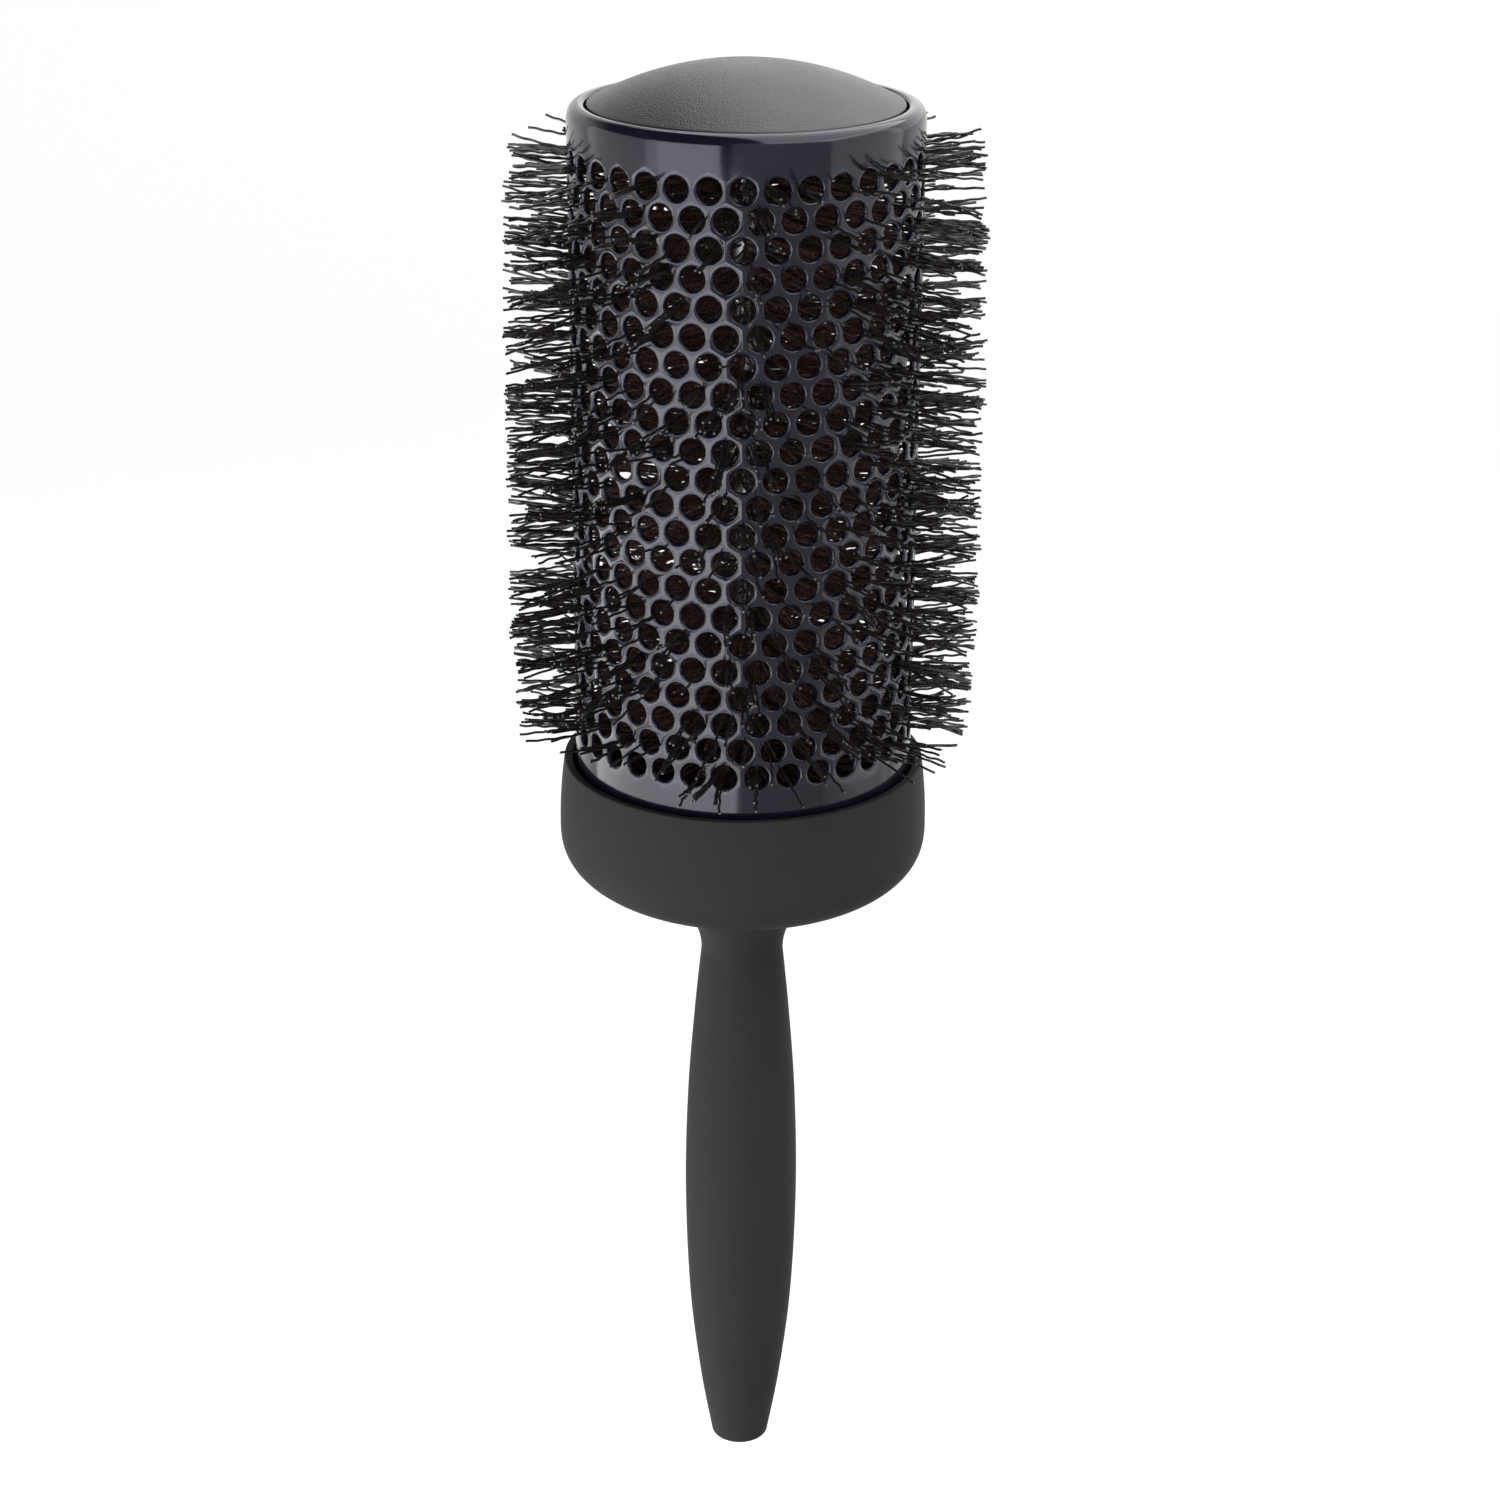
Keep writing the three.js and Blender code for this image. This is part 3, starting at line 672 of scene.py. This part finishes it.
def filament_lines(rng, angles, heights):
    """Lines of crimped filaments, given the angle and height of the hole that each strand of the stem
    fills. A strand is a few filaments that stay together from the stem to their tips."""
    strand = np.repeat(np.arange(len(angles)), rng.choice(np.arange(1, 5), len(angles), p=STRAND_SIZES))
    count = len(strand)

    def shared(spread, own, columns=1):
        """Random numbers that a strand's filaments share, plus a smaller part of their own."""
        common = rng.normal(0, spread, (len(angles), columns))
        return common[strand] + rng.normal(0, own, (count, columns))

    angles, heights = angles[strand], heights[strand]
    out = np.stack([np.sin(angles), -np.cos(angles), np.zeros(count)], 1)
    side = np.stack([np.cos(angles), np.sin(angles), np.zeros(count)], 1)
    up = np.array([0.0, 0.0, 1.0])

    # where the filament crosses the wall, inside its hole
    reach = HOLE_R - FILAMENT_R - CRIMP_HEIGHT - 0.1 * MM
    spot = shared(SPOT_SPREAD[0] * reach, SPOT_SPREAD[1], 2)
    spot /= np.maximum(np.linalg.norm(spot, axis=1, keepdims=True) / reach, 1)
    wall_r = BARREL_R - WALL / 2
    hole = out * wall_r + side * spot[:, :1] + up * (heights[:, None] + spot[:, 1:])

    # where it leaves the stem
    start_z = heights + shared(*START_SPREAD_UP)[:, 0]
    start_z = np.clip(start_z, heights - MOST_RISE, heights + MOST_RISE)
    start_z = np.clip(start_z, STEM_BOTTOM_Z + BARE_STEM_BELOW, STEM_TOP_Z - BARE_STEM_ABOVE)
    start = out * START_R + side * shared(*START_SPREAD_SIDEWAYS) + up * start_z[:, None]
    along = unit(hole - start)
    inner = np.linalg.norm(hole - start, axis=1)
    short = (rng.random(count) < SHORT_CHANCE) * rng.random(count) * SHORT_BY
    tip_r = TIP_R - np.abs(rng.normal(0, TIP_SPREAD, count)) - short
    from_end = np.minimum(TOP_ROW_Z - heights, heights - LAST_ROW_Z)
    tip_r -= TRIM * np.clip(1 - from_end / TRIM_HEIGHT, 0, 1)
    outer = (tip_r - wall_r) / (along * out).sum(1)

    # stations: ever closer towards the wall, and close together outside it
    inside_t = -np.linspace(1, 0, STATIONS)[:-1] ** 1.4
    outside_t = np.linspace(0, 1, STATIONS)
    q = np.concatenate([inner[:, None] * inside_t, outer[:, None] * outside_t], axis=1)
    past = np.maximum(q, 0) + BEND_LEAD * (q > 0)
    bend = shared(*BEND, 3) / MM
    bend -= (bend * along).sum(1, keepdims=True) * along
    lines = hole[:, None] + q[..., None] * along[:, None] + 0.5 * past[..., None] ** 2 * bend[:, None]
    return lines + crimps(rng, along, q)


def crimps(rng, along, q):
    """The sideways waves of filaments, given their directions and the distances along them."""
    count = len(along)
    wave = unit(np.cross(along, rng.normal(0, 1, (count, 3))))
    phase = rng.random((count, 1)) * TURN
    length = CRIMP_LENGTH * rng.normal(1, 0.08, (count, 1))
    crimp = CRIMP_HEIGHT * rng.normal(1, 0.25, (count, 1)) * np.sin(TURN * q / length + phase)
    return crimp[..., None] * wave[:, None]


def enclosed_lines(rng, count, low, high):
    """Lines of short filaments that end inside the barrel, from a stretch of the stem."""
    angles = rng.random(count) * TURN
    along = np.stack([np.sin(angles), -np.cos(angles), rng.normal(0, ENCLOSED_SLOPE, count)], 1)
    side = np.stack([np.cos(angles), np.sin(angles), np.zeros(count)], 1)
    start = START_R * along + rng.normal(0, START_SPREAD_SIDEWAYS[0], (count, 1)) * side
    start[:, 2] = rng.uniform(low, high, count)
    q = rng.uniform(*ENCLOSED_LENGTHS, (count, 1)) * np.linspace(0, 1, STATIONS)
    return start[:, None] + q[..., None] * along[:, None] + crimps(rng, along, q)


def make_bristles(number, node):
    rng = np.random.default_rng(SEED + number)
    angles, heights = [], []
    for row in (2 * number, 2 * number + 1):
        turn = EVEN_ROW_ANGLE - (0 if row % 2 else math.pi / HOLES_PER_ROW)
        for hole in range(HOLES_PER_ROW):
            angle = turn + hole * TURN / HOLES_PER_ROW
            sideways = abs(math.sin(angle)) ** 3
            if math.cos(angle) < 0:
                sideways = max(sideways, BACK_SIDEWAYS)
            chances = (1 - sideways) * HOLE_STRANDS_FRONT + sideways * HOLE_STRANDS_SIDE
            strands = rng.choice(4, p=chances)
            angles += [angle] * strands
            heights += [TOP_ROW_Z - row * ROW_PITCH] * strands
    sets = [filament_lines(rng, np.array(angles), np.array(heights))]
    middle = TOP_ROW_Z - (2 * number + 0.5) * ROW_PITCH
    high = min(middle + ROW_PITCH, STEM_TOP_Z - BARE_STEM_ABOVE)
    sets.append(enclosed_lines(rng, ENCLOSED, middle - ROW_PITCH, high))
    if node == TUFT_ROWS[-1]:
        sets.append(enclosed_lines(rng, ENCLOSED_BELOW, ENCLOSED_Z, LAST_ROW_Z - HOLE_R))
    points, groups = [], []
    for lines in sets:
        radii = np.full(lines.shape[1], FILAMENT_R)
        more, quads, tips, roots = tubes(lines, radii, FILAMENT_SIDES)
        first = sum(len(part) for part in points)
        groups += [(first + quads, 0), (first + tips, 1), (first + roots, 0)]
        points.append(more)
    looks = [NYLON, CUT_NYLON]
    bristles = new_piece(node + "_filaments", np.concatenate(points), groups, looks, 60)
    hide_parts(node)
    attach(bristles, "root")


make_barrel()
make_cap()
make_collar()
make_grip()
make_stem_wire("stem_wire_a", 0)
make_stem_wire("stem_wire_b", math.pi)
for number, node in enumerate(TUFT_ROWS):
    make_bristles(number, node)

# the pieces inside keep their CAD shapes
INNER = {
    "handle_core": MOULDED,
    "base_plug": MOULDED,
    "end_plug": MOULDED,
    "base_screw_1": STEEL,
    "base_screw_2": STEEL,
    "base_screw_3": STEEL,
    "lower_stem_ferrule": STEEL,
    "upper_stem_ferrule": STEEL,
}
for node, look in INNER.items():
    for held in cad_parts[node].material_slots:
        held.material = look


# ---- studio ----
LIGHTS_AIM_Z = 0.2  # the lights' distances and heights are from this point on the axis
WALL_DISTANCE = 1.2  # of the upright soft boxes


def make_studio():
    """A plain pale floor, well below the brush, that curves up into a wall all round. Only the
    camera sees it."""
    floor_z, floor_r, cove, wall_top = -0.7, 3.0, 1.0, 14.0
    profile = [*arc(floor_r, floor_z + cove, cove, cove, -90, 0, 12), (floor_r + cove, wall_top)]
    segments = 96
    angles = TURN * np.arange(segments) / segments
    points = [(0, 0, floor_z)]
    rings = []
    for r, z in profile:
        rings.append(len(points) + np.arange(segments))
        points += [(r * math.cos(a), r * math.sin(a), z) for a in angles]
    centre = np.zeros(segments, int)
    first = np.stack([centre, rings[0], np.roll(rings[0], -1)], 1)
    quads = [np.stack([a, b, np.roll(b, -1), np.roll(a, -1)], 1) for a, b in zip(rings, rings[1:])]
    material = bpy.data.materials.new("studio_white")
    material.use_nodes = True
    shader = material.node_tree.nodes["Principled BSDF"]
    shader.inputs["Base Color"].default_value = (0.25, 0.25, 0.25, 1)
    shader.inputs["Roughness"].default_value = 1
    shader.inputs["Specular IOR Level"].default_value = 0
    shader.inputs["Emission Color"].default_value = (1, 1, 1, 1)
    shader.inputs["Emission Strength"].default_value = 0.92
    floor = new_piece("studio_floor", points, [(first, 0), (np.concatenate(quads), 0)], [material])
    for rays in ("diffuse", "glossy", "transmission", "shadow", "volume_scatter"):
        setattr(floor, "visible_" + rays, False)


def soft_box(name, azimuth, elevation, distance, width, height, radiance):
    """A rectangular light that faces the brush. Azimuth 0 is -Y, 90 is +X."""
    a, e = math.radians(azimuth), math.radians(elevation)
    away = Vector((math.sin(a) * math.cos(e), -math.cos(a) * math.cos(e), math.sin(e)))
    data = bpy.data.lights.new(name, "AREA")
    data.shape = "RECTANGLE"
    data.size, data.size_y = width, height
    data.energy = 4 * radiance * width * height
    light = bpy.data.objects.new(name, data)
    light.location = Vector((0, 0, LIGHTS_AIM_Z)) + away * distance
    light.rotation_euler = away.to_track_quat("Z", "Y").to_euler()
    light.visible_camera = False
    bpy.context.scene.collection.objects.link(light)
    return light


def wall_box(name, from_azimuth, to_azimuth, low, high, radiance):
    """An upright soft box that spans two azimuths and two elevations, in degrees, as seen from the
    barrel."""
    middle = (from_azimuth + to_azimuth) / 2
    half = math.radians(abs(to_azimuth - from_azimuth) / 2)
    bottom = WALL_DISTANCE * math.tan(math.radians(low))
    top = WALL_DISTANCE * math.tan(math.radians(high))
    width = 2 * WALL_DISTANCE * math.tan(half)
    light = soft_box(name, middle, 0, WALL_DISTANCE, width, top - bottom, radiance)
    light.location.z += (top + bottom) / 2


def overhead_box(middle_x, middle_y, width, depth, height, turn, radiance):
    """A level soft box above the brush and to its right, turned about the vertical."""
    light = soft_box("overhead", 0, 90, height, width, depth, radiance)
    light.rotation_euler = (0, 0, math.radians(turn))
    light.location.x += middle_x
    light.location.y += middle_y


def make_world():
    """White behind the brush and dark behind the camera."""
    world = bpy.data.worlds.new("studio_world")
    bpy.context.scene.world = world
    world.use_nodes = True
    nodes, links = world.node_tree.nodes, world.node_tree.links
    direction = nodes.new("ShaderNodeTexCoord").outputs["Generated"]
    split = nodes.new("ShaderNodeSeparateXYZ")
    links.new(direction, split.inputs[0])

    def ramp(value, from_min, from_max, to_min, to_max):
        node = nodes.new("ShaderNodeMapRange")
        node.interpolation_type = "SMOOTHSTEP"
        links.new(value, node.inputs["Value"])
        names = ("From Min", "From Max", "To Min", "To Max")
        for name, number in zip(names, (from_min, from_max, to_min, to_max)):
            node.inputs[name].default_value = number
        return node.outputs["Result"]

    behind = ramp(split.outputs["Y"], 0.2, 0.65, 0, 1)
    low = ramp(split.outputs["Z"], 0.35, 0.65, 1, 0)
    product = nodes.new("ShaderNodeMath")
    product.operation = "MULTIPLY_ADD"
    links.new(behind, product.inputs[0])
    links.new(low, product.inputs[1])
    product.inputs[2].default_value = 0.04
    links.new(product.outputs[0], nodes["Background"].inputs["Strength"])
    nodes["Background"].inputs["Color"].default_value = (1, 1, 1, 1)


make_studio()
make_world()
wall_box("left_key", -16, -57, -15, 20, 2.65)
wall_box("left_key_edge", -57, -65, -15, 20, 1.75)
wall_box("left_side", -65, -118, -17, 20, 0.9)
wall_box("left_key_low", -4, -70, -24, -15, 4.2)
wall_box("left_side_low", -70, -118, -24, -17, 3.7)
wall_box("left_key_floor", -4, -70, -60, -24, 2.6)
wall_box("left_side_floor", -70, -118, -60, -24, 2.4)
wall_box("front_fill", -9, 53, -60, 38, 0.45)
wall_box("right_side", 54, 116, -15, 38, 1.0)
wall_box("right_side_low", 54, 116, -25, -15, 1.45)
wall_box("right_side_floor", 54, 116, -60, -25, 0.5)
wall_box("back_fill", 105, 185, 4, 44, 0.4)
overhead_box(middle_x=0.82, middle_y=0.04, width=1.72, depth=3.2, height=1.1, turn=14.5, radiance=2.1)
